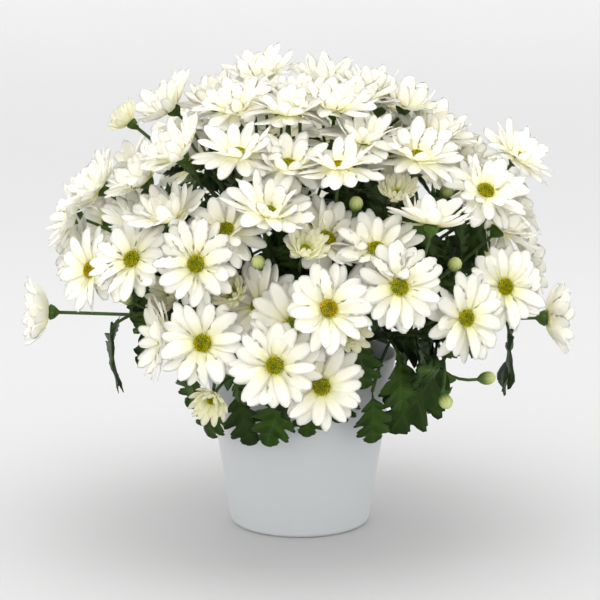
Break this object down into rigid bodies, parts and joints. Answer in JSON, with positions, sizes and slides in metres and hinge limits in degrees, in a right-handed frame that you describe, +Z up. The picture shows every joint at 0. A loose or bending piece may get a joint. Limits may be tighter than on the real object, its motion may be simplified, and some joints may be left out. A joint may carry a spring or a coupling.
{
  "type": "potted chrysanthemum",
  "caption": "Potted chrysanthemum: a dome of white daisy blooms with half-open blooms, buds and lobed leaves, standing in a plain tapered pot filled with soil.",
  "frame": {"origin": "middle of the pot's flat foot, on the surface that the pot stands on", "axes": "+Z up, out of the pot; the side with the most blooms faces -Y; +X is to the right as seen from there"},
  "size_m": [0.4317, 0.3961, 0.3799],
  "materials": {
    "petals": "soft matte white petals, cream towards the disc",
    "greens": "matte dark green leaves and stems, with yellow-green discs and buds",
    "pot": "plain white, satin",
    "soil": "crumbly dark brown potting soil"
  },
  "bodies": {
    "root": {"bloom_01": "petals", "bloom_02": "petals", "bloom_03": "petals", "bloom_04": "petals", "bloom_05": "petals", "bloom_06": "petals", "bloom_07": "petals", "bloom_08": "petals", "bloom_09": "petals", "bloom_10": "petals", "bloom_11": "petals", "bloom_12": "petals", "bloom_13": "petals", "bloom_14": "petals", "bloom_15": "petals", "bloom_16": "petals", "bloom_17": "petals", "bloom_18": "petals", "bloom_19": "petals", "bloom_20": "petals", "bloom_21": "petals", "bloom_22": "petals", "bloom_23": "petals", "bloom_24": "petals", "bloom_25": "petals", "bloom_26": "petals", "bloom_27": "petals", "bloom_28": "petals", "bloom_29": "petals", "bloom_30": "petals", "bloom_31": "petals", "bloom_32": "petals", "bloom_33": "petals", "bloom_34": "petals", "bloom_35": "petals", "bloom_36": "petals", "bloom_37": "petals", "bloom_38": "petals", "bloom_39": "petals", "bloom_40": "petals", "bloom_41": "petals", "bloom_42": "petals", "bloom_43": "petals", "bloom_44": "petals", "bloom_45": "petals", "bloom_46": "petals", "bloom_47": "petals", "spray_01": "petals", "spray_02": "petals", "spray_03": "petals", "spray_04": "petals", "spray_05": "petals", "spray_06": "petals", "plant_1": "greens", "plant_2": "greens", "plant_3": "greens", "plant_4": "greens", "plant_5": "greens", "pot": "pot", "soil": "soil"}
  },
  "joints": []
}
